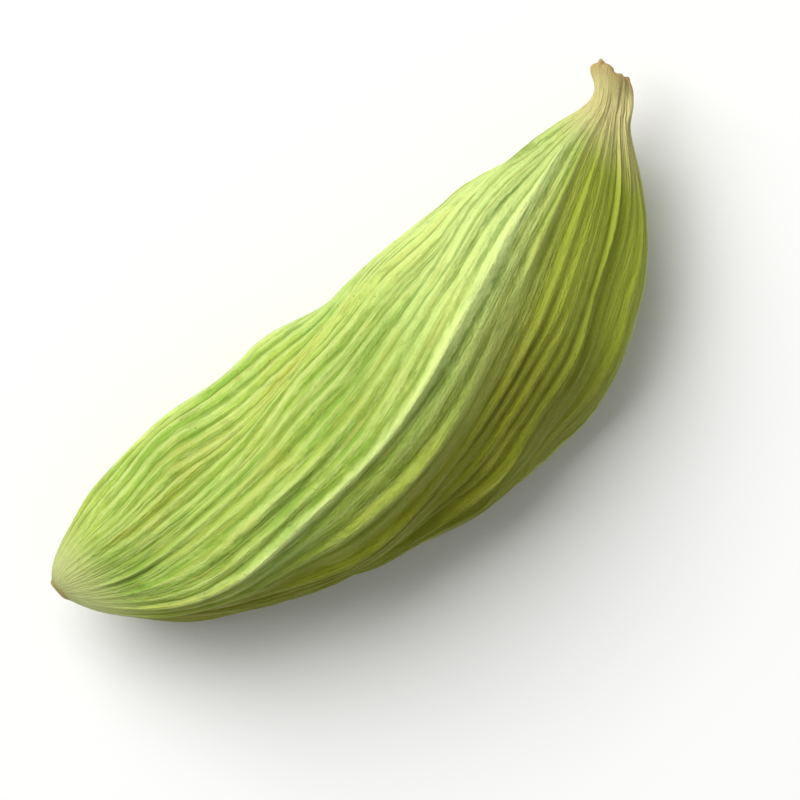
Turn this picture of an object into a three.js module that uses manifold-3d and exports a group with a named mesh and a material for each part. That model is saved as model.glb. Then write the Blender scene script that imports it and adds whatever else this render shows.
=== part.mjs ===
// A green cardamom pod, dried whole and unsplit, lying on one of its three sides.
// Millimetres. +X runs along the pod to its stalk, +Y is the hollow side of its bow and +Z is up.
// The origin lies on the surface under it, at the middle of the pod's length and width.
import * as THREE from "three";
import { mergeVertices } from "three/addons/utils/BufferGeometryUtils.js";
import Module from "manifold-3d";

// Driving sizes of the pod
const apexX = -9.95;
const stalkEndX = 9.75;
const huskEndX = 8.9;
const widestX = -0.35;
const widestRadius = 3.34;
const heightToWidth = 0.93;

// The husk tapers to the apex as a blunt egg, and to the stalk later, from a fuller shoulder.
const apexTaper = { closingX: -10, power: 2, root: 0.56 };
const stalkTaper = { closingX: huskEndX, power: 3.2, root: 0.88 };

// Its section has three rounded corners, with a seam along each as a low keel.
const sides = 3;
const cornerRise = 0.125;
const cornerSharpness = 0.034;
const keelRise = 0.11;
const keelWidth = 0.1;

// The top corner's seam points up, a little past straight, and turns with the whole pod.
const topSeamAngle = THREE.MathUtils.degToRad(92);
const turnPerMillimetre = THREE.MathUtils.degToRad(4.4);

// The pod is bowed to one side. Its tip and its stalk bend further to the hollow side, and the
// stalk's sections lean with it, by so many millimetres along for each one sideways.
const bow = { depth: 2.1, length: 20.8, x: -0.15 };
const tipBend = { depth: 0.25, length: 2.2 };
const stalkBend = { depth: 1, length: 3.8, lean: 0.35 };

// The side that it lies on is flatter than the others.
const restingFlatness = 0.11;
const restingHalfAngle = THREE.MathUtils.degToRad(48);

// A shallow dent in the hollow side, where the husk sank in as it dried
const dent = { x: -2.75, depth: 0.36, halfLength: 3 };

// Ribs run from end to end, at about half a millimetre from one to the next on the widest part.
const ribCount = 42;
const ribRise = 0.045;
const ribNarrowing = 0.8;
const ribDrift = 0.03;
const swellRise = 0.14;

// How far from each end of the husk the relief takes to reach its full height
const cornerFade = { fromApex: 2.8, fromStalk: 2.6 };
const keelFade = { fromApex: 4.6, fromStalk: 1.2 };
const ribFade = { fromApex: 2.2, fromStalk: 0.4 };
const fadePastHusk = 0.6;

// Waves over the husk: radians for each millimetre along it, whole turns round it, phase and share.
// They move the ribs sideways, make them stronger and weaker, and lift low swells under them.
const driftWaves = [
  { along: 0.35, around: 2, phase: 0.4, share: 1 },
  { along: 0.9, around: -5, phase: 1.9, share: 0.4 },
];
const strengthWaves = [
  { along: 0.8, around: 7, phase: 0, share: 0.25 },
  { along: 2.1, around: -11, phase: 0, share: 0.15 },
];
const swellWaves = [
  { along: 0.65, around: 5, phase: 0.5, share: 0.8 },
  { along: 1.65, around: 1, phase: 0.05, share: 0.3 },
];

// The short stub of the stalk, which widens a little at its end
const stub = { radius: 0.5, rootLength: 5, flare: 0.1, flareLength: 0.6 };
const filletPower = 2.4;

// The stalk's cut and the flower's scar: a rounded rim, and a dish that starts inside it
const stalkCut = { rounding: 0.12, dish: 0.18 };
const flowerScar = { rounding: 0.04, dish: 0.06 };
const dishHalfway = 0.6;
const rimShare = 0.84;

// The small flat that the pod rests on: the grooves run out into it, and it is cut level.
const flat = { x: -0.15, halfLength: 3.6, halfAngle: THREE.MathUtils.degToRad(42), depth: 0.2 };

// Mesh density: one column on each rib's crest and one in each groove between two
const columns = 2 * ribCount;
const huskRings = 48;
const stubRings = 4;
const weldDistance = 1e-4;

const huskMaterial = new THREE.MeshStandardMaterial({
  name: "dried cardamom husk",
  color: 0xa9c25a,
  roughness: 0.62,
  metalness: 0,
});

// 0 below one edge, 1 above the other, and smooth between.
function rampUp(value, from, to) {
  return THREE.MathUtils.smoothstep(value, from, to);
}

// Half of the husk's mean width at a place along the pod, with no ribs.
function huskRadius(x) {
  const taper = x < widestX ? apexTaper : stalkTaper;
  const share = Math.min((x - widestX) / (taper.closingX - widestX), 1);
  return widestRadius * Math.pow(1 - Math.pow(share, taper.power), taper.root);
}

// The stub starts inside the husk's shoulder and widens a little at its cut end.
function stubRadiusAt(x) {
  const flare = stub.flare * rampUp(x, stalkEndX - stub.flareLength, stalkEndX - stalkCut.rounding);
  return (stub.radius + flare) * rampUp(x, huskEndX - stub.rootLength, huskEndX);
}

// The husk runs into the stub with a hollow fillet.
function podRadius(x) {
  const sum = Math.pow(huskRadius(x), filletPower) + Math.pow(stubRadiusAt(x), filletPower);
  return Math.pow(sum, 1 / filletPower);
}

// 1 on the body of the pod, and 0 at the apex and on the stub.
function bodyShare(x, fade) {
  const nearStalk = rampUp(x, huskEndX - fade.fromStalk, huskEndX + fadePastHusk);
  return rampUp(x, apexX, apexX + fade.fromApex) * (1 - nearStalk);
}

// Direction, in a section at x, of the line that leaves the top seam by an angle. The whole pod,
// its corners and its ribs alike, turns as it goes along.
function headingOf(x, fromSeam) {
  return fromSeam + topSeamAngle - turnPerMillimetre * x;
}

function angleFromBelow(heading) {
  return Math.acos(THREE.MathUtils.clamp(-Math.sin(heading), -1, 1));
}

// 1 straight below the middle of a section, falling to 0 up its sides
function underside(heading) {
  return Math.exp(-Math.pow(angleFromBelow(heading) / restingHalfAngle, 2));
}

// 1 on the flat that the pod rests on, with a soft edge
function onFlat(x, heading) {
  const along = Math.pow((x - flat.x) / flat.halfLength, 4);
  const around = Math.pow(angleFromBelow(heading) / flat.halfAngle, 4);
  return Math.exp(-along - around);
}

// The radius of a three-cornered section, as a multiple of its mean radius.
function sectionShape(x, fromSeam) {
  const rounded = cornerRise * Math.cos(sides * fromSeam);
  const sharper = cornerSharpness * Math.cos(2 * sides * fromSeam);
  const flatter = restingFlatness * underside(headingOf(x, fromSeam));
  return 1 + (rounded + sharper - flatter) * bodyShare(x, cornerFade);
}

// Two sides of the husk meet along each seam and stand out a little.
function keelRelief(x, fromSeam) {
  const nearSeam = Math.exp(-Math.pow(Math.sin((sides / 2) * fromSeam) / keelWidth, 2));
  return keelRise * nearSeam * bodyShare(x, keelFade);
}

// How far the dent presses the surface in.
function dentDepth(x, heading) {
  const along = Math.exp(-Math.pow((x - dent.x) / dent.halfLength, 2));
  return dent.depth * along * Math.pow(Math.max(Math.cos(heading), 0), 2);
}

function waveSum(waves, x, fromSeam) {
  let sum = 0;
  for (const { along, around, phase, share } of waves) {
    sum += share * Math.sin(along * x + around * fromSeam + phase);
  }
  return sum;
}

// Ribs drift sideways together by a part of their spacing, as dried fibres do.
function driftAngle(x, fromSeam) {
  return ribDrift * waveSum(driftWaves, x, fromSeam) * bodyShare(x, cornerFade);
}

// Crests stand out and grooves sink in, lower where the pod narrows. Both run out at its two ends.
function ribRelief(x, fromSeam) {
  const narrowed = Math.pow(podRadius(x) / widestRadius, ribNarrowing);
  const strength = 1 + waveSum(strengthWaves, x, fromSeam);
  const pressed = onFlat(x, headingOf(x, fromSeam));
  const wave = THREE.MathUtils.lerp(Math.cos(ribCount * fromSeam), 1, pressed);
  return ribRise * narrowed * strength * wave * bodyShare(x, ribFade);
}

// Seeds and drying leave low swells under the ribs, but none where the pod lies.
function swellRelief(x, fromSeam) {
  const lifted = 1 - underside(headingOf(x, fromSeam));
  return swellRise * waveSum(swellWaves, x, fromSeam) * lifted * bodyShare(x, cornerFade);
}

// How far a place lies along the bent tip, or along the bent stalk: 0 at its root and 1 at its end
function alongTip(x) {
  return Math.max(1 - (x - apexX) / tipBend.length, 0);
}

function alongStalk(x) {
  return Math.max(1 - (stalkEndX - x) / stalkBend.length, 0);
}

// How far the middle of a section lies to the side. The pod's length lies level.
function bowOffset(x) {
  const tip = tipBend.depth * Math.pow(alongTip(x), 2);
  const stalk = stalkBend.depth * Math.pow(alongStalk(x), 2);
  return tip + stalk - bow.depth * Math.cos((Math.PI * (x - bow.x)) / bow.length);
}

// Places along the pod, closer together where it narrows.
function ringPlaces() {
  const first = apexX + flowerScar.rounding;
  const places = [];
  for (let i = 0; i <= huskRings; i++) {
    const swing = (1 - Math.cos((Math.PI * i) / huskRings)) / 2;
    places.push(THREE.MathUtils.lerp(first, huskEndX, swing));
  }
  for (let i = 1; i <= stubRings; i++) {
    places.push(THREE.MathUtils.lerp(huskEndX, stalkEndX - stalkCut.rounding, i / stubRings));
  }
  return places;
}

// From the middle of a dished end to its rim. The end faces along `direction`.
function endProfile(endX, direction, end) {
  const rimRadius = rimShare * podRadius(endX - direction * end.rounding);
  return [
    new THREE.Vector2(0, endX - direction * end.dish),
    new THREE.Vector2(rimRadius / 2, endX - direction * dishHalfway * end.dish),
    new THREE.Vector2(rimRadius, endX),
  ];
}

// The pod as a body of revolution: from the flower's scar, over the husk, to the cut stalk.
function podProfile() {
  const outside = ringPlaces().map((x) => new THREE.Vector2(podRadius(x), x));
  const scar = endProfile(apexX, -1, flowerScar);
  const cut = endProfile(stalkEndX, 1, stalkCut).reverse();
  return [...scar, ...outside, ...cut];
}

// Gives the turned body its three sides, bow, dent and ribs, point by point. The body was turned
// round Y, which becomes the pod's X. The scar and the cut lie where all relief has run out.
function shapePod(geometry) {
  const position = geometry.getAttribute("position");
  for (let i = 0; i < position.count; i++) {
    const x = position.getY(i);
    const turned = new THREE.Vector2(position.getZ(i), position.getX(i));
    const fromSeam = turned.angle();
    const heading = headingOf(x, fromSeam);
    const relief = ribRelief(x, fromSeam) + swellRelief(x, fromSeam) + keelRelief(x, fromSeam);
    const radius = turned.length() * sectionShape(x, fromSeam) + relief - dentDepth(x, heading);
    const drifted = heading + driftAngle(x, fromSeam);
    const sideways = radius * Math.cos(drifted);
    const leaning = stalkBend.lean * alongStalk(x) * sideways;
    const z = heightToWidth * radius * Math.sin(drifted);
    position.setXYZ(i, x - leaning, bowOffset(x) + sideways, z);
  }
}

// Keeps only positions and joins the seam, so that the surface is one closed sheet.
function closedSheet(geometry) {
  geometry.deleteAttribute("normal");
  geometry.deleteAttribute("uv");
  return mergeVertices(geometry, weldDistance);
}

function toSolid(wasm, geometry) {
  const sheet = closedSheet(geometry);
  const mesh = new wasm.Mesh({
    numProp: 3,
    vertProperties: sheet.getAttribute("position").array,
    triVerts: new Uint32Array(sheet.index.array),
  });
  return new wasm.Manifold(mesh);
}

function toGeometry(solid) {
  const mesh = solid.getMesh();
  return new THREE.BufferGeometry()
    .setAttribute("position", new THREE.BufferAttribute(mesh.vertProperties, 3))
    .setIndex(new THREE.BufferAttribute(mesh.triVerts, 1));
}

// Slices the flat off the underside.
function cutFlat(wasm, geometry) {
  geometry.computeBoundingBox();
  const lowest = geometry.boundingBox.min.z;
  const blockSize = 30;
  const block = new THREE.BoxGeometry(blockSize, blockSize, blockSize);
  block.translate(0, 0, lowest + flat.depth - blockSize / 2);
  return toGeometry(toSolid(wasm, geometry).subtract(toSolid(wasm, block)));
}

// Moves the pod so that it stands on the origin's level, centred over it.
function standOnOrigin(geometry) {
  geometry.computeBoundingBox();
  const { min, max } = geometry.boundingBox;
  return geometry.translate(-(min.x + max.x) / 2, -(min.y + max.y) / 2, -min.z);
}

const wasm = await Module();
wasm.setup();

const turnedBody = new THREE.LatheGeometry(podProfile(), columns);
shapePod(turnedBody);
const podGeometry = standOnOrigin(cutFlat(wasm, turnedBody));
podGeometry.computeVertexNormals();

const pod = new THREE.Mesh(podGeometry, huskMaterial);
pod.name = "cardamom_pod";

const part = new THREE.Group();
part.add(pod);

export default part;
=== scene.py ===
# %% [markdown]
# # A green cardamom pod
#
# The object is one dried, unsplit pod. It grew as one closed piece, so it stays one piece here too: a
# husk with ribs from end to end, a blunt tip with the scar of its flower, and the stub of its stalk.
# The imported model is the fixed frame: it says where the pod lies and how large it is. This lesson
# makes a finer pod in the same place, from the same few numbers, and then the finish of its husk.

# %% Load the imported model
import math

import bpy
import numpy as np
from mathutils import Matrix, Vector, noise


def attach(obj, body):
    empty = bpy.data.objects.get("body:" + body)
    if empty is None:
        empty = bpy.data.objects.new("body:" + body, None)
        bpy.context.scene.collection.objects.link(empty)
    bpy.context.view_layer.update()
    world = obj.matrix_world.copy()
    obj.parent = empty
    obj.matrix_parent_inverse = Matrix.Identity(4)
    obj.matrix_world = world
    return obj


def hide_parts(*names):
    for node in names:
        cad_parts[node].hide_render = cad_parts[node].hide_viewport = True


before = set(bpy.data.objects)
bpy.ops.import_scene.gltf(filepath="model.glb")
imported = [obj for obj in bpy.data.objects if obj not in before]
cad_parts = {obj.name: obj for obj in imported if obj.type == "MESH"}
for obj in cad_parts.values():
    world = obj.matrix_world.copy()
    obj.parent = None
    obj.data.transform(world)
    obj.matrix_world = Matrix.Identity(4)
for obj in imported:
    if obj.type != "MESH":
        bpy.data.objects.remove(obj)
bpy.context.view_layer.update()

MM = 0.001

# %% [markdown]
# ## The pod's sizes
#
# All lengths of the pod are in millimetres, as in the frame's own source, and are turned to metres
# once, when the mesh is written. The pod lies along X with its stalk at +X. It is widest near its
# middle, tapers to the tip like the blunt end of an egg, and keeps a fuller shoulder at the stalk.
# A formula for the radius is chosen rather than a drawn curve, because the ribs need it as well.

# %% Sizes along the pod
APEX_X, HUSK_END_X, STALK_END_X = -9.95, 8.9, 9.75
WIDEST_X, WIDEST_RADIUS, HEIGHT_TO_WIDTH = -0.35, 3.34, 0.93
APEX_CLOSING_X, APEX_POWER, APEX_ROOT = -10, 2, 0.56
SHOULDER_POWER, SHOULDER_ROOT = 3.2, 0.88
STUB_RADIUS, STUB_ROOT_LENGTH = 0.5, 5
STUB_FLARE, STUB_FLARE_LENGTH = 0.1, 0.6
FILLET_POWER, APEX_ROUNDING, STUB_ROUNDING = 2.4, 0.04, 0.12


def ramp(value, start, end):
    """0 up to start, 1 from end on, and a smooth slope between."""
    share = np.clip((value - start) / (end - start), 0, 1)
    return share * share * (3 - 2 * share)


print("pod:", STALK_END_X - APEX_X, "mm long with its stub")


# %% Radius along the pod
def husk_radius(x):
    """Half of the husk's mean width at x, as two tapers that meet where it is widest."""
    to_apex = x < WIDEST_X
    reach = np.where(to_apex, WIDEST_X - APEX_CLOSING_X, HUSK_END_X - WIDEST_X)
    share = np.minimum(np.abs(x - WIDEST_X) / reach, 1)
    apex_side = (1 - share**APEX_POWER) ** APEX_ROOT
    stalk_side = (1 - share**SHOULDER_POWER) ** SHOULDER_ROOT
    return WIDEST_RADIUS * np.where(to_apex, apex_side, stalk_side)


def pod_radius(x):
    """The husk's radius, run into the stub's with a hollow fillet."""
    flare = STUB_FLARE * ramp(x, STALK_END_X - STUB_FLARE_LENGTH, STALK_END_X - STUB_ROUNDING)
    stub = (STUB_RADIUS + flare) * ramp(x, HUSK_END_X - STUB_ROOT_LENGTH, HUSK_END_X)
    return (husk_radius(x) ** FILLET_POWER + stub**FILLET_POWER) ** (1 / FILLET_POWER)


for name, place in (("middle", WIDEST_X), ("stub", HUSK_END_X)):
    print(name + ":", round(2 * float(pod_radius(place)), 2), "mm across")

# %% [markdown]
# ## Where the relief fades
#
# On a real pod the corners, keels and ribs all flatten out towards the tip and the stalk, each at its
# own distance. They could be masked by hand for each. One function of the place along the pod is
# shorter, and every relief below is multiplied by it.

# %% How relief fades at the two ends
CORNER_FADE, KEEL_FADE, RIB_FADE = (2.8, 2.6), (4.6, 1.2), (2.2, 0.4)
FADE_PAST_HUSK = 0.6


def body_share(x, fade):
    """1 on the pod's body, 0 at its apex and on its stub. Fade is in mm from each end of the husk."""
    from_apex, from_stalk = fade
    near_stalk = ramp(x, HUSK_END_X - from_stalk, HUSK_END_X + FADE_PAST_HUSK)
    return ramp(x, APEX_X, APEX_X + from_apex) * (1 - near_stalk)


print("ribs stand full over", HUSK_END_X - APEX_X - sum(RIB_FADE), "mm")

# %% [markdown]
# ## A cage for the pod
#
# A pod could start as a stretched sphere, but its rings would bunch at the poles. Here it starts as
# one ring near the apex with two points to a rib. The ring is extruded along the pod and resized at
# each step, as by hand, so that every rib later has its own columns of faces. The stub's end and the
# flower's scar are drawn in to a point over three short steps, which leaves each a little hollow or
# a little domed.

# %% Places of the rings
RIB_COUNT = 42
CAGE_COLUMNS = 2 * RIB_COUNT
HUSK_RINGS, STUB_RINGS = 51, 6


def ring_places():
    """Places of the rings, closer together where the pod narrows."""
    first = APEX_X + APEX_ROUNDING
    swing = (1 - np.cos(np.pi * np.arange(HUSK_RINGS + 1) / HUSK_RINGS)) / 2
    husk_places = first + (HUSK_END_X - first) * swing
    stub_places = np.linspace(HUSK_END_X, STALK_END_X - STUB_ROUNDING, STUB_RINGS + 1)[1:]
    return [float(x) for x in np.concatenate([husk_places, stub_places])]


print("rings:", len(ring_places()), "with", CAGE_COLUMNS, "points each")


# %% Extrude the ring along the pod
def extrude_ring(x_from, x_to, radius_from, radius_to):
    """Extrudes the selected ring to a new place and radius."""
    bpy.ops.mesh.extrude_region_move()
    bpy.ops.transform.translate(value=(MM * (x_to - x_from), 0, 0))
    scale = radius_to / radius_from
    bpy.ops.transform.resize(value=(1, scale, scale), center_override=(MM * x_to, 0, 0))


def close_end(x_from, radius_from, steps):
    """Draws the selected ring in over (place, share of its radius) steps and closes it."""
    full_radius = radius_from
    for x_to, share in steps:
        extrude_ring(x_from, x_to, radius_from, share * full_radius)
        x_from, radius_from = x_to, share * full_radius
    bpy.ops.mesh.merge(type="CENTER")


# %% Select a ring again by its place
RING_TOLERANCE_MM = 0.001


def select_ring_at(cage, place):
    """Selects the edges that lie on the ring at one place along the pod."""
    bpy.ops.mesh.select_all(action="DESELECT")
    bpy.ops.object.mode_set(mode="OBJECT")
    on_ring = [abs(vertex.co.x / MM - place) < RING_TOLERANCE_MM for vertex in cage.data.vertices]
    for edge in cage.data.edges:
        edge.select = all(on_ring[i] for i in edge.vertices)
    bpy.ops.object.mode_set(mode="EDIT")


# %% Make the cage
CUT_STEPS = [(STALK_END_X, 0.84), (STALK_END_X - 0.08, 0.6), (STALK_END_X - 0.18, 0.25)]
SCAR_STEPS = [(APEX_X - 0.03, 0.84), (APEX_X - 0.07, 0.6), (APEX_X - 0.04, 0.25)]


def make_cage():
    bpy.ops.object.select_all(action="DESELECT")
    places = ring_places()
    apex_place, apex_radius = places[0], float(pod_radius(places[0]))
    place, radius = apex_place, apex_radius
    bpy.ops.mesh.primitive_circle_add(
        vertices=CAGE_COLUMNS,
        radius=MM * radius,
        location=(MM * place, 0, 0),
        rotation=(0, math.pi / 2, 0),
    )
    cage = bpy.context.active_object
    cage.name = "ribbed_husk"
    bpy.ops.object.transform_apply(location=True, rotation=True, scale=True)
    bpy.ops.object.mode_set(mode="EDIT")
    bpy.ops.mesh.select_all(action="SELECT")
    for next_place in places[1:]:
        next_radius = float(pod_radius(next_place))
        extrude_ring(place, next_place, radius, next_radius)
        place, radius = next_place, next_radius
    close_end(place, radius, CUT_STEPS)
    select_ring_at(cage, apex_place)
    close_end(apex_place, apex_radius, SCAR_STEPS)
    bpy.ops.mesh.select_all(action="SELECT")
    bpy.ops.mesh.normals_make_consistent(inside=False)
    bpy.ops.object.mode_set(mode="OBJECT")
    return cage


husk = make_cage()
print("cage:", len(husk.data.vertices), "points,", len(husk.data.polygons), "faces")

# %% [markdown]
# ## A smooth body
#
# Ribs half a millimetre apart need points every few hundredths of a millimetre. More rings could be
# extruded, but a Subdivision Surface also rounds the rims of the cut and of the scar, so it is
# applied here, before any relief is laid on.

# %% Subdivide the cage
SMOOTHING = 2


def apply_subdivision(piece, levels):
    subdivision = piece.modifiers.new("smooth", "SUBSURF")
    subdivision.levels = levels
    subdivision.render_levels = levels
    bpy.context.view_layer.objects.active = piece
    bpy.ops.object.modifier_apply(modifier=subdivision.name)


apply_subdivision(husk, SMOOTHING)
print("husk:", len(husk.data.vertices), "points,", len(husk.data.polygons), "faces")

# %% [markdown]
# ## Three sides, turned and bowed
#
# A cardamom pod holds three rows of seeds, so its section is a triangle with round corners, and a
# seam runs along each corner as a low keel. The pod twisted a little as it dried, and its corners and
# ribs turned with it. It is also bowed to one side, and its stalk is bent further that way.
# A bend modifier and a twist modifier could do some of this. A formula does it more exactly, with the
# same few numbers as the frame, so here a formula moves each point of the smooth body.

# %% The three-sided section
SIDES = 3
CORNER_RISE, CORNER_SHARPNESS = 0.125, 0.034
TOP_SEAM_ANGLE, TURN_PER_MM = math.radians(92), math.radians(4.4)
RESTING_FLATNESS, RESTING_HALF_ANGLE = 0.11, math.radians(48)


def heading_of(x, from_seam):
    """Direction, in a section at x, of the line that leaves the top corner's seam by an angle."""
    return from_seam + TOP_SEAM_ANGLE - TURN_PER_MM * x


def angle_from_below(heading):
    return np.arccos(np.clip(-np.sin(heading), -1, 1))


def underside(heading):
    """1 straight below the middle of a section, falling to 0 up its sides."""
    return np.exp(-((angle_from_below(heading) / RESTING_HALF_ANGLE) ** 2))


def section_shape(x, from_seam):
    """Radius of the three-cornered section, as a multiple of its mean."""
    rounded = CORNER_RISE * np.cos(SIDES * from_seam)
    sharper = CORNER_SHARPNESS * np.cos(2 * SIDES * from_seam)
    flatter = RESTING_FLATNESS * underside(heading_of(x, from_seam))
    return 1 + (rounded + sharper - flatter) * body_share(x, CORNER_FADE)


corner_radius = WIDEST_RADIUS * section_shape(WIDEST_X, 0)
print("top corner:", round(float(corner_radius), 2), "mm from the middle, where the pod is widest")

# %% Bow, dent and flat
BOW_DEPTH, BOW_LENGTH, BOW_X = 2.1, 20.8, -0.15
TIP_BEND, TIP_BEND_LENGTH = 0.25, 2.2
STALK_BEND, STALK_BEND_LENGTH, STALK_LEAN = 1, 3.8, 0.35
DENT_X, DENT_DEPTH, DENT_HALF_LENGTH = -2.75, 0.36, 3
FLAT_X, FLAT_HALF_LENGTH, FLAT_HALF_ANGLE, FLAT_DEPTH = -0.15, 3.6, math.radians(42), 0.2


def along_stalk(x):
    """0 at the root of the bent stalk, 1 at its end."""
    return np.maximum(1 - (STALK_END_X - x) / STALK_BEND_LENGTH, 0)


def bow_offset(x):
    """How far the middle of a section lies to the side."""
    tip = TIP_BEND * np.maximum(1 - (x - APEX_X) / TIP_BEND_LENGTH, 0) ** 2
    stalk = STALK_BEND * along_stalk(x) ** 2
    return tip + stalk - BOW_DEPTH * np.cos(np.pi * (x - BOW_X) / BOW_LENGTH)


def dent_depth(x, heading):
    """The husk sank in here as it dried."""
    along = np.exp(-(((x - DENT_X) / DENT_HALF_LENGTH) ** 2))
    return DENT_DEPTH * along * np.maximum(np.cos(heading), 0) ** 2


def on_flat(x, heading):
    """1 on the flat that the pod rests on, with a soft edge."""
    along = ((x - FLAT_X) / FLAT_HALF_LENGTH) ** 4
    around = (angle_from_below(heading) / FLAT_HALF_ANGLE) ** 4
    return np.exp(-along - around)


print("bow:", round(float(bow_offset(STALK_END_X) - bow_offset(BOW_X)), 2), "mm from middle to stalk")

# %% [markdown]
# ## Ribs and wrinkles
#
# The ribs are veins of tough fibre. The husk between them shrinks as it dries and sinks in, so they
# stand out. They differ in strength, come and go, wander a little and run together at the ends, and
# they are coarser from the top seam down its shaded side than elsewhere.
# Sculpting could give this, but not the same way twice. Here each rib sits on its own columns of
# points, and smooth noise that is long along the pod and narrow across it varies them.

# %% Waves and noise over the husk
SEED_STEP = 17.3
TUBE_RADIUS = 3


def unroll(body):
    """Each point's place along the smooth body, and its angle round it from the top seam."""
    return body[:, 0], np.arctan2(body[:, 2], body[:, 1])


def straighten(body):
    """Place on a straight tube of the pod's mean size, for patterns that follow the ribs."""
    x, from_seam = unroll(body)
    return np.stack([x, TUBE_RADIUS * np.cos(from_seam), TUBE_RADIUS * np.sin(from_seam)], axis=1)


def noise_at(straight, grain, seed):
    """Smooth noise of about -1 to 1. Grain is its size in mm along the ribs and across them."""
    along, across = grain
    scaled = straight / np.array([along, across, across]) + SEED_STEP * seed
    return np.array([noise.noise(Vector(point)) for point in scaled])


def wave_sum(waves, x, from_seam):
    """Waves over the husk. Each is (radians a millimetre, whole turns round, phase, share)."""
    total = 0
    for along, around, phase, share in waves:
        total = total + share * np.sin(along * x + around * from_seam + phase)
    return total


def near_angle(from_seam, middle, full, none):
    """1 on a strip of the husk up to `full` from its middle angle, and 0 past `none`."""
    apart = np.arccos(np.clip(np.cos(from_seam - middle), -1, 1))
    return 1 - ramp(apart, full, none)


# %% Where the ribs run
RIB_DRIFT, RIB_STRAY, STRAY_GRAIN = 0.03, 0.05, (5, 0.8)
DRIFT_WAVES = [(0.35, 2, 0.4, 1), (0.9, -5, 1.9, 0.4)]


def stray_angle(x, from_seam, straight):
    """Ribs drift sideways together, and each strays a little by itself. In radians."""
    stray = RIB_STRAY * noise_at(straight, STRAY_GRAIN, seed=4)
    return (RIB_DRIFT * wave_sum(DRIFT_WAVES, x, from_seam) + stray) * body_share(x, CORNER_FADE)


# %% How far the ribs stand out
RIB_RISE, RIB_NARROWING, CREST_SHARPNESS = 0.055, 0.8, 1.2
STRENGTH_WAVES = [(0.8, 7, 0, 0.25), (2.1, -11, 0, 0.15)]
WEAKEST_RIB, STRONGEST_RIB = 0.45, 1.35
RIB_FADING, FADING_GRAIN, LEAST_STRENGTH = 1.1, (3.2, 0.9), 0.1
COARSE_MIDDLE, COARSE_FULL, COARSE_NONE = math.radians(45), math.radians(60), math.radians(85)
COARSENESS = 0.6
rng = np.random.default_rng(seed=7)
RIB_STRENGTHS = rng.uniform(WEAKEST_RIB, STRONGEST_RIB, RIB_COUNT)


def rib_crest(from_seam):
    """1 on the crest of a rib, 0 in the groove between two."""
    return 0.5 + 0.5 * np.cos(RIB_COUNT * from_seam)


def rib_strength(x, from_seam, straight):
    """Each rib has its own strength and comes and goes. Where coarse, every second one is strong."""
    number = np.round(RIB_COUNT * from_seam / (2 * np.pi)).astype(int) % RIB_COUNT
    coarse = near_angle(from_seam, COARSE_MIDDLE, COARSE_FULL, COARSE_NONE)
    waves = 1 + wave_sum(STRENGTH_WAVES, x, from_seam)
    fading = np.maximum(1 + RIB_FADING * noise_at(straight, FADING_GRAIN, seed=1), LEAST_STRENGTH)
    return RIB_STRENGTHS[number] * (1 + COARSENESS * coarse * np.cos(np.pi * number)) * waves * fading


def rib_relief(x, from_seam, straight):
    """Height of the ribs in mm, lower where the pod narrows and pressed level on its flat."""
    height = 2 * rib_strength(x, from_seam, straight) * rib_crest(from_seam) ** CREST_SHARPNESS - 1
    pressed = on_flat(x, heading_of(x, from_seam))
    narrowed = (pod_radius(x) / WIDEST_RADIUS) ** RIB_NARROWING
    return RIB_RISE * narrowed * body_share(x, RIB_FADE) * (height * (1 - pressed) + pressed)


print("rib strengths:", RIB_STRENGTHS.min().round(2), "to", RIB_STRENGTHS.max().round(2))

# %% [markdown]
# ## Keels
#
# Where two sides of the husk meet, their edges grew together into a low, narrow keel. It could be an
# edge loop pulled outwards, but the seams turn with the pod, so a narrow bump round each seam's
# angle is added to the radius instead. Noise makes it higher here and lower there.

# %% Keels along the seams
KEEL_RISE, KEEL_WIDTH = 0.11, 0.1
KEEL_UNEVENNESS, KEEL_GRAIN = 0.6, (2, 2)


def on_keel(x, from_seam):
    """1 along each seam, where two sides of the husk meet, and 0 away from it."""
    near_seam = np.exp(-((np.sin(SIDES / 2 * from_seam) / KEEL_WIDTH) ** 2))
    return near_seam * body_share(x, KEEL_FADE)


def keel_relief(x, from_seam, straight):
    unevenness = 1 + KEEL_UNEVENNESS * noise_at(straight, KEEL_GRAIN, seed=9)
    return KEEL_RISE * on_keel(x, from_seam) * unevenness


print("keels:", SIDES, "of about", KEEL_RISE, "mm")

# %% [markdown]
# ## Swells, lumps and wrinkles
#
# The husk shrank on to its seeds, so it swells a little over each, sags between them, and creases.
# A cloth or sculpting brush could crease it, but the creases of a husk keep to its fibres: they are
# long along the pod and narrow across it. Noise that is stretched along the ribs does just that.

# %% Relief of the skin
SWELL_RISE, SWELL_WAVES = 0.14, [(0.65, 5, 0.5, 0.8), (1.65, 1, 0.05, 0.3)]
LUMP_RISE, LUMP_GRAIN = 0.1, (1.9, 1.5)
WRINKLE_RISE, WRINKLE_GRAIN = 0.042, (2.4, 0.28)
FINE_WRINKLE_RISE, FINE_WRINKLE_GRAIN = 0.021, (1.3, 0.15)
PUCKER_RISE, PUCKER_GRAIN, CREST_SPARING = 0.036, (0.34, 0.5), 1.2


def swell_relief(x, from_seam):
    """Low swells over the seeds, but none where the pod lies."""
    lifted = 1 - underside(heading_of(x, from_seam))
    return SWELL_RISE * wave_sum(SWELL_WAVES, x, from_seam) * lifted * body_share(x, CORNER_FADE)


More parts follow.
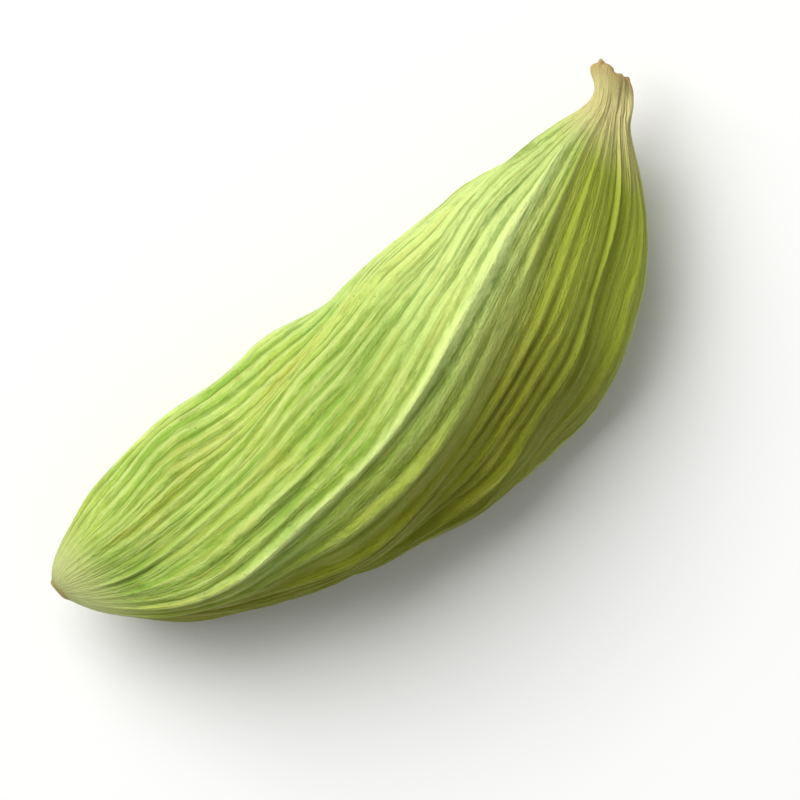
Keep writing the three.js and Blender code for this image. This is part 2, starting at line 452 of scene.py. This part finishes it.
def skin_relief(x, from_seam, straight):
    """Lumps, wrinkles along the ribs, and puckers across the grooves, in mm."""
    off_flat = 1 - on_flat(x, heading_of(x, from_seam))
    lumps = LUMP_RISE * noise_at(straight, LUMP_GRAIN, seed=7) * off_flat
    wrinkles = WRINKLE_RISE * noise_at(straight, WRINKLE_GRAIN, seed=3)
    fine_wrinkles = FINE_WRINKLE_RISE * noise_at(straight, FINE_WRINKLE_GRAIN, seed=5)
    in_grooves = CREST_SPARING - rib_crest(from_seam)
    puckers = PUCKER_RISE * noise_at(straight, PUCKER_GRAIN, seed=2) * in_grooves
    return (lumps + wrinkles + fine_wrinkles + puckers) * body_share(x, RIB_FADE)


print("swells up to", SWELL_RISE, "mm, lumps", LUMP_RISE, "mm, wrinkles", WRINKLE_RISE, "mm")

# %% [markdown]
# ## The torn stub
#
# The stalk is a bundle of fibres that was torn off about a millimetre past the husk. It dried to a
# knobby, fluted stub with a ragged end. A cut cylinder would look like a peg, so noise is laid on
# the stub as well: wide knobs, narrow fibres, and an end that falls short by a different amount
# at each fibre.

# %% Knobs, fibres and a ragged end
KNOB_RISE, KNOB_GRAIN = 0.16, (0.9, 2.2)
FIBRE_RISE, FIBRE_GRAIN = 0.09, (1.2, 0.8)
TORN_DEPTH, TORN_MEAN, TORN_GRAIN = 0.3, 0.5, (1, 1.6)
STUB_RUN_IN, STUB_RUN_OUT = 0.8, 0.3


def stub_relief(x, straight):
    """The stub is neither round nor even. In mm."""
    on_stub = ramp(x, HUSK_END_X - STUB_RUN_IN, HUSK_END_X + STUB_RUN_OUT)
    knobs = KNOB_RISE * noise_at(straight, KNOB_GRAIN, seed=6)
    return (knobs + FIBRE_RISE * noise_at(straight, FIBRE_GRAIN, seed=8)) * on_stub


def torn_back(x, straight):
    """How far the torn end falls short of its full length, in mm: the same all along a fibre."""
    across_only = straight * np.array([0, 1, 1])
    short = TORN_MEAN + noise_at(across_only, TORN_GRAIN, seed=10)
    return TORN_DEPTH * ramp(x, HUSK_END_X, STALK_END_X) * short


print("knobs up to", KNOB_RISE, "mm, torn end about", TORN_DEPTH * TORN_MEAN, "mm short")

# %% [markdown]
# ## Put the form together
#
# The smooth body is round and straight. Each of its points is now pushed in or out by all the relief
# at its place, turned with the corners, and moved sideways by the bow. Points below the flat are
# raised to it, and the pod is set down on the frame's origin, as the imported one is. A chain of
# modifiers could do the same, but then no rib could know where the flat and the seams are.

# %% The place of each point on the pod
END_MIDDLE = 0.4


def on_outside(body):
    """1 on the pod's outside, falling to 0 at the middle of its two ends."""
    return ramp(np.hypot(body[:, 1], body[:, 2]), 0, END_MIDDLE)


def middle(values):
    return (values.min() + values.max()) / 2


def shape_husk(body):
    """Points of the smooth body, in mm, moved to the pod's form."""
    x, from_seam = unroll(body)
    heading = heading_of(x, from_seam)
    straight = straighten(body)
    relief = rib_relief(x, from_seam, straight) + keel_relief(x, from_seam, straight)
    relief += skin_relief(x, from_seam, straight) + stub_relief(x, straight)
    relief += swell_relief(x, from_seam) - dent_depth(x, heading)
    radius = np.hypot(body[:, 1], body[:, 2]) * section_shape(x, from_seam) + relief * on_outside(body)
    heading = heading + stray_angle(x, from_seam, straight)
    sideways = radius * np.cos(heading)
    placed_x = x - STALK_LEAN * along_stalk(x) * sideways - torn_back(x, straight)
    y = bow_offset(x) + sideways
    z = HEIGHT_TO_WIDTH * radius * np.sin(heading)
    z = np.maximum(z, z.min() + FLAT_DEPTH)
    return np.stack([placed_x - middle(placed_x), y - middle(y), z - z.min()], axis=1)


# %% Move the points
def read_points(mesh):
    """The points of a mesh, in mm, one to a row."""
    flat = np.empty(3 * len(mesh.vertices))
    mesh.vertices.foreach_get("co", flat)
    return flat.reshape(-1, 3) / MM


body = read_points(husk.data)
shaped = shape_husk(body)
husk.data.vertices.foreach_set("co", (MM * shaped).ravel())
husk.data.polygons.foreach_set("use_smooth", [True] * len(husk.data.polygons))
husk.data.update()
triangles = sum(len(face.vertices) - 2 for face in husk.data.polygons)
print("husk shaped:", triangles, "triangles, size in mm", np.ptp(shaped, axis=0).round(2))

# %% [markdown]
# ## What the finish follows
#
# The colours change with the form: crests are rubbed pale and lightened with painted highlight,
# grooves are darkened with painted shade, and the side away from the light is painted deep olive as
# shade, lighter and more yellow towards the stalk. Painted shade also darkens the lit side of the
# ridge on its way to the tip. A picture could be painted for that, but each point already knows its
# place, so a few values are kept on the points as attributes. One more is the place on the straight
# tube, on which the grain is drawn so that it turns and bows with the ribs.

# %% Keep values on the points
# Painted shade: a strip round the side that faces away from the light is coloured deep olive, and
# towards the stalk that painted shade turns lighter and more yellow.
SHADE_SIDE_MIDDLE, SHADE_SIDE_FULL, SHADE_SIDE_NONE = math.radians(75), math.radians(28), math.radians(88)
SHADE_YELLOWING_X = (2, 6.5)
# Painted shade: the lit side of the top ridge is darkened on its way to the tip.
RIDGE_SHADE_MIDDLE, RIDGE_SHADE_FULL, RIDGE_SHADE_NONE = math.radians(-10), math.radians(20), math.radians(50)
RIDGE_SHADE_FADE_X = (-1, 3)


def keep_value(mesh, name, values):
    attribute = mesh.attributes.new(name, "FLOAT", "POINT")
    attribute.data.foreach_set("value", values)


x, from_seam = unroll(body)
# The strip of painted shade on the side away from the light.
painted_shade_side = near_angle(from_seam, SHADE_SIDE_MIDDLE, SHADE_SIDE_FULL, SHADE_SIDE_NONE)
KEPT = {
    "crest": rib_crest(from_seam) * body_share(x, RIB_FADE),
    "keel": on_keel(x, from_seam),
    "painted_shade_side": painted_shade_side,
    "painted_shade_to_stalk": painted_shade_side * ramp(x, *SHADE_YELLOWING_X),
    "painted_shade_by_ridge": near_angle(from_seam, RIDGE_SHADE_MIDDLE, RIDGE_SHADE_FULL, RIDGE_SHADE_NONE) * (1 - ramp(x, *RIDGE_SHADE_FADE_X)),
    "along": (x - APEX_X) / (STALK_END_X - APEX_X),
}
for name, values in KEPT.items():
    keep_value(husk.data, name, values)
straight_attribute = husk.data.attributes.new("straight", "FLOAT_VECTOR", "POINT")
straight_attribute.data.foreach_set("vector", straighten(body).ravel())
print("kept on each point:", ", ".join(KEPT), "and straight")

# %% [markdown]
# ## The husk's finish
#
# A dried cardamom husk is a thin, fibrous paper: matt, with a faint waxy sheen on its crests. It
# grew, so nothing made its surface but its veins and its drying. It is yellow-green in soft patches,
# paler towards the stalk, and it fades to cream at the tip and on the stub. Light and shade are also
# painted into its colour: a painted sheen on the stalk half, painted highlight on the crests, and
# painted shade in the grooves, along the ridge towards the tip, and in olive on the side away from
# the light.
# Every pattern here is noise on the kept values, laid coat over coat as a painter would glaze it.

# %% One helper for colours, one for nodes
def srgb(hex_code):
    """An sRGB hex colour as the linear colour that Blender's sockets take."""
    values = [int(hex_code[i : i + 2], 16) / 255 for i in (1, 3, 5)]
    return [v / 12.92 if v <= 0.04045 else ((v + 0.055) / 1.055) ** 2.4 for v in values] + [1.0]


def add_node(tree, kind, settings=None, inputs=None):
    """Adds a node, sets its properties, and sets or links each input by its name or number."""
    node = tree.nodes.new(kind)
    for key, value in (settings or {}).items():
        setattr(node, key, value)
    for key, value in (inputs or {}).items():
        if isinstance(value, bpy.types.NodeSocket):
            tree.links.new(value, node.inputs[key])
        else:
            node.inputs[key].default_value = value
    return node


def new_material(name):
    material = bpy.data.materials.new(name)
    material.use_nodes = True
    material.node_tree.nodes.clear()
    return material


print("mid grey in linear light:", round(srgb("#808080")[0], 3))

# %% Grain of the husk
GRAIN_DETAIL, GRAIN_ROUGHNESS = 5.0, 0.6


def husk_grain(tree, along_mm, across_mm):
    """Noise of about 0.3 to 0.7 with a grain of so many mm along the ribs and across them."""
    straight = add_node(tree, "ShaderNodeAttribute", {"attribute_name": "straight"})
    scaled = add_node(tree, "ShaderNodeMapping", None, {
        "Vector": straight.outputs["Vector"],
        "Scale": (1 / along_mm, 1 / across_mm, 1 / across_mm),
    })
    made = add_node(tree, "ShaderNodeTexNoise", None, {
        "Vector": scaled.outputs["Vector"],
        "Scale": 1.0,
        "Detail": GRAIN_DETAIL,
        "Roughness": GRAIN_ROUGHNESS,
    })
    return made.outputs["Fac"]


# %% Values that were kept on the points
BRUSH_GRAIN = (0.5, 0.12)


def read_kept(tree):
    """The kept values by name. Crest and keel also come with a fine grain added, as by a dry brush."""
    kept = {}
    for name in KEPT:
        kept[name] = add_node(tree, "ShaderNodeAttribute", {"attribute_name": name}).outputs["Fac"]
    bristles = husk_grain(tree, *BRUSH_GRAIN)
    for name in ("crest", "keel"):
        brushed = add_node(tree, "ShaderNodeMath", {"operation": "ADD"}, {0: kept[name], 1: bristles})
        kept["brushed " + name] = brushed.outputs[0]
    return kept


# %% Colours of the husk
FRESH_GREEN, YELLOW_GREEN, OLIVE = "#8EB446", "#B6CE5A", "#AEA83E"
# Deep olive and yellow-olive are painted shade for the side away from the light.
PAINTED_SHADE_OLIVE, PAINTED_SHADE_YELLOW_OLIVE = "#7C8004", "#B2C444"
RUBBED_CREST_AND_HIGHLIGHT, PALE_FIBRE, DARK_FIBRE_AND_SHADE, PAINTED_GROOVE_SHADE = "#D2E284", "#D0E084", "#7A9038", "#66802A"
PALE_TONE_AND_SHEEN, CREAM_TIP, CREAM_STALK, DRY_FIBRE = "#E2F29E", "#DBE296", "#ECE09C", "#BCBC58"
TORN_TAN, SPECK_BROWN, WAX = "#C09C60", "#6E5A2C", "#E4E8A0"


# %% The coats, in the order in which they are laid
def husk_coats(tree):
    """Coats of colour, each with what it follows, where that starts and is full, and its share."""
    kept = read_kept(tree)
    return [
        (YELLOW_GREEN, husk_grain(tree, 4.5, 2.6), 0.38, 0.62, 1.0),
        (OLIVE, husk_grain(tree, 3.0, 1.6), 0.5, 0.7, 0.5),
        # Paler towards the stalk: partly the husk's own tone, partly a painted sheen.
        (PALE_TONE_AND_SHEEN, kept["along"], 0.4, 0.75, 0.65),
        # Painted shade: the grooves between the ribs are darkened.
        (PAINTED_GROOVE_SHADE, kept["brushed crest"], 0.9, 0.5, 0.6),
        # Pale crests: partly rubbed wear, partly painted highlight.
        (RUBBED_CREST_AND_HIGHLIGHT, kept["brushed crest"], 1.1, 1.5, 0.55),
        (PALE_FIBRE, husk_grain(tree, 3.0, 0.14), 0.5, 0.68, 0.6),
        (DARK_FIBRE_AND_SHADE, husk_grain(tree, 2.4, 0.11), 0.5, 0.7, 0.6),
        (PALE_FIBRE, husk_grain(tree, 1.1, 0.26), 0.5, 0.68, 0.35),
        (DARK_FIBRE_AND_SHADE, husk_grain(tree, 0.7, 0.2), 0.5, 0.68, 0.4),
        # Painted shade along the lit side of the ridge, towards the tip.
        (DARK_FIBRE_AND_SHADE, kept["painted_shade_by_ridge"], 0.0, 1.0, 0.2),
        # Painted shade: deep olive over the side away from the light, lighter and more yellow towards
        # the stalk.
        (PAINTED_SHADE_OLIVE, kept["painted_shade_side"], 0.0, 1.0, 0.86),
        (PAINTED_SHADE_YELLOW_OLIVE, kept["painted_shade_to_stalk"], 0.0, 1.0, 0.6),
        (DRY_FIBRE, husk_grain(tree, 2.2, 0.17), 0.5, 0.68, 0.4),
        # The keels are rubbed pale, in the same pale colour.
        (PALE_TONE_AND_SHEEN, kept["brushed keel"], 0.9, 1.5, 0.45),
        (SPECK_BROWN, husk_grain(tree, 0.16, 0.11), 0.66, 0.72, 0.6),
        (CREAM_TIP, kept["along"], 0.09, 0.0, 0.9),
        (TORN_TAN, kept["along"], 0.006, 0.0, 0.6),
        (CREAM_STALK, kept["along"], 0.88, 0.955, 0.9),
        (TORN_TAN, kept["along"], 0.975, 1.0, 0.7),
    ]


# %% Lay the coats
def husk_colour(tree):
    """The coats, each laid over the last, on fresh green."""
    colour = srgb(FRESH_GREEN)
    for coat, follows, start, full, share in husk_coats(tree):
        laid = add_node(tree, "ShaderNodeMapRange", {"interpolation_type": "SMOOTHSTEP"}, {
            "Value": follows, "From Min": start, "From Max": full, "To Max": share,
        })
        mixed = add_node(tree, "ShaderNodeMix", {"data_type": "RGBA"}, {
            "Factor": laid.outputs["Result"], "A": colour, "B": srgb(coat),
        })
        colour = mixed.outputs["Result"]
    return colour


# %% [markdown]
# ## Fine relief
#
# Between the ribs the skin shows threads of fibre and is dry and pimpled. That is too fine for the
# mesh, and a displaced one would need millions of points, so it is a bump in the material.

# %% Threads and pimples
FIBRE_THREADS = (1.4, 0.1)
PIMPLES = [((0.24, 0.18), 0.6), ((0.1, 0.08), 0.4)]
BUMP_STRENGTH, BUMP_HEIGHT_MM = 0.9, 0.12


def husk_bump(tree):
    """Threads along the ribs and a pimpled skin between them.

    The real pimples are about a twentieth of a millimetre. They are drawn coarser, to show.
    """
    height = husk_grain(tree, *FIBRE_THREADS)
    for grain, share in PIMPLES:
        height = add_node(tree, "ShaderNodeMath", {"operation": "MULTIPLY_ADD"}, {
            0: husk_grain(tree, *grain), 1: share, 2: height,
        }).outputs[0]
    bump = add_node(tree, "ShaderNodeBump", None, {
        "Height": height, "Strength": BUMP_STRENGTH, "Distance": BUMP_HEIGHT_MM * MM,
    })
    return bump.outputs["Normal"]


print("fine relief:", BUMP_HEIGHT_MM, "mm")

# %% [markdown]
# ## The whole finish
#
# Dry plant fibre scatters light evenly, so the husk is rough and shows no mirror image. Its crests
# are rubbed smoother in handling, and a thin natural wax gives them a soft sheen. One roughness all
# over would be simpler but would look like paint, so the roughness follows the crests.

# %% The husk's material
GROOVE_ROUGHNESS, CREST_ROUGHNESS = 0.75, 0.48
PLANT_WAX_IOR, SHEEN_LEVEL = 1.45, 0.25


def dried_husk_material():
    """Cardamom husk, dried whole: ribbed fibre paper, matt, with a little wax on its crests.

    To the eye it is soft and dry. The photograph's highlights are pale yellow, so the sheen is too.
    """
    material = new_material("dried_cardamom_husk")
    tree = material.node_tree
    crest = add_node(tree, "ShaderNodeAttribute", {"attribute_name": "crest"})
    roughness = add_node(tree, "ShaderNodeMapRange", None, {
        "Value": crest.outputs["Fac"], "To Min": GROOVE_ROUGHNESS, "To Max": CREST_ROUGHNESS,
    })
    shader = add_node(tree, "ShaderNodeBsdfPrincipled", None, {
        "Base Color": husk_colour(tree),
        "Roughness": roughness.outputs["Result"],
        "Normal": husk_bump(tree),
        "IOR": PLANT_WAX_IOR,
        "Specular IOR Level": SHEEN_LEVEL,
        "Specular Tint": srgb(WAX),
    })
    add_node(tree, "ShaderNodeOutputMaterial", None, {"Surface": shader.outputs["BSDF"]})
    return material


husk.data.materials.clear()
husk.data.materials.append(dried_husk_material())
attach(husk, "root")
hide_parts("cardamom_pod")
print("husk finished:", husk.data.materials[0].name)

# %% [markdown]
# ## A pale floor
#
# The pod lies on a plain white ground. A backdrop with a curved rise could be built, but the camera
# looks straight down and sees no horizon, so one flat plane does. From here on lengths are in metres,
# apart from the camera's lens and sensor, which Blender takes in millimetres.

# %% A matt white board
FLOOR_WIDTH = 3.0
BOARD_WHITE, BOARD_ROUGHNESS, BOARD_SHEEN = "#EFEFEE", 0.9, 0.1


def make_floor():
    """Matt white board: it takes the pod's shadow and shows no shine of its own."""
    bpy.ops.object.select_all(action="DESELECT")
    bpy.ops.mesh.primitive_plane_add(size=FLOOR_WIDTH, location=(0, 0, 0))
    floor = bpy.context.active_object
    floor.name = "pale_floor"
    material = new_material("matt_white_board")
    tree = material.node_tree
    shader = add_node(tree, "ShaderNodeBsdfPrincipled", None, {
        "Base Color": srgb(BOARD_WHITE),
        "Roughness": BOARD_ROUGHNESS,
        "Specular IOR Level": BOARD_SHEEN,
    })
    add_node(tree, "ShaderNodeOutputMaterial", None, {"Surface": shader.outputs["BSDF"]})
    floor.data.materials.append(material)
    return floor


floor = make_floor()
print("floor:", floor.name)

# %% [markdown]
# ## The camera
#
# The photograph looks straight down, and the pod's stalk points up and to the right at 41 degrees.
# The pod could be turned to match, but it has to stay as the frame has it, so the camera is turned.
# It has a long lens, so the pod is drawn almost without perspective, as from well above.

# %% A camera that looks straight down
POD_TILT_IN_PICTURE = math.radians(40.8)
VIEW_WIDTH = 0.0205
LENS, SENSOR = 400.0, 36.0
NEAREST_SEEN = 0.005
PICTURE_RIGHT = Vector((math.cos(POD_TILT_IN_PICTURE), -math.sin(POD_TILT_IN_PICTURE), 0))
PICTURE_UP = Vector((math.sin(POD_TILT_IN_PICTURE), math.cos(POD_TILT_IN_PICTURE), 0))
POD_MIDDLE = Vector((0, 0, 0.003))


def make_camera():
    bpy.ops.object.camera_add()
    camera = bpy.context.active_object
    camera.data.lens = LENS
    camera.data.sensor_width = SENSOR
    camera.data.clip_start = NEAREST_SEEN
    distance = VIEW_WIDTH * LENS / SENSOR
    turn = Matrix((PICTURE_RIGHT, PICTURE_UP, Vector((0, 0, 1)))).transposed()
    camera.matrix_world = Matrix.Translation(POD_MIDDLE + Vector((0, 0, distance))) @ turn.to_4x4()
    bpy.context.scene.camera = camera
    return camera


camera = make_camera()
print("camera looks down from", round(camera.location.z, 3), "m")

# %% [markdown]
# ## Light
#
# Soft light comes from the upper left. A sun would draw hard shadows, so the key is one large
# softbox, about 50 degrees up, so that each rib is lit on one side. A white room round it all keeps
# the far side from going black.

# %% Soft studio light
KEY_STEEPNESS = 1.75
KEY_DIRECTION = PICTURE_UP - PICTURE_RIGHT + Vector((0, 0, KEY_STEEPNESS))
KEY_DISTANCE, KEY_SIZE, KEY_POWER = 0.5, 0.42, 3.3
ROOM_STRENGTH = 0.33


def add_softbox(name, direction, distance, size, power):
    """A square softbox that faces the pod from a direction."""
    bpy.ops.object.light_add(type="AREA", location=POD_MIDDLE + direction.normalized() * distance)
    lamp = bpy.context.active_object
    lamp.name = name
    lamp.data.size = size
    lamp.data.energy = power
    lamp.rotation_euler = direction.to_track_quat("Z", "Y").to_euler()
    return lamp


def light_surroundings(strength):
    """A plain white room, which fills the shade."""
    world = bpy.data.worlds.new("studio")
    world.use_nodes = True
    background = world.node_tree.nodes["Background"]
    background.inputs["Color"].default_value = (1, 1, 1, 1)
    background.inputs["Strength"].default_value = strength
    bpy.context.scene.world = world


key = add_softbox("key", KEY_DIRECTION, KEY_DISTANCE, KEY_SIZE, KEY_POWER)
light_surroundings(ROOM_STRENGTH)
bpy.context.scene.view_settings.view_transform = "Standard"
print("key light:", round(key.data.energy, 2), "W")
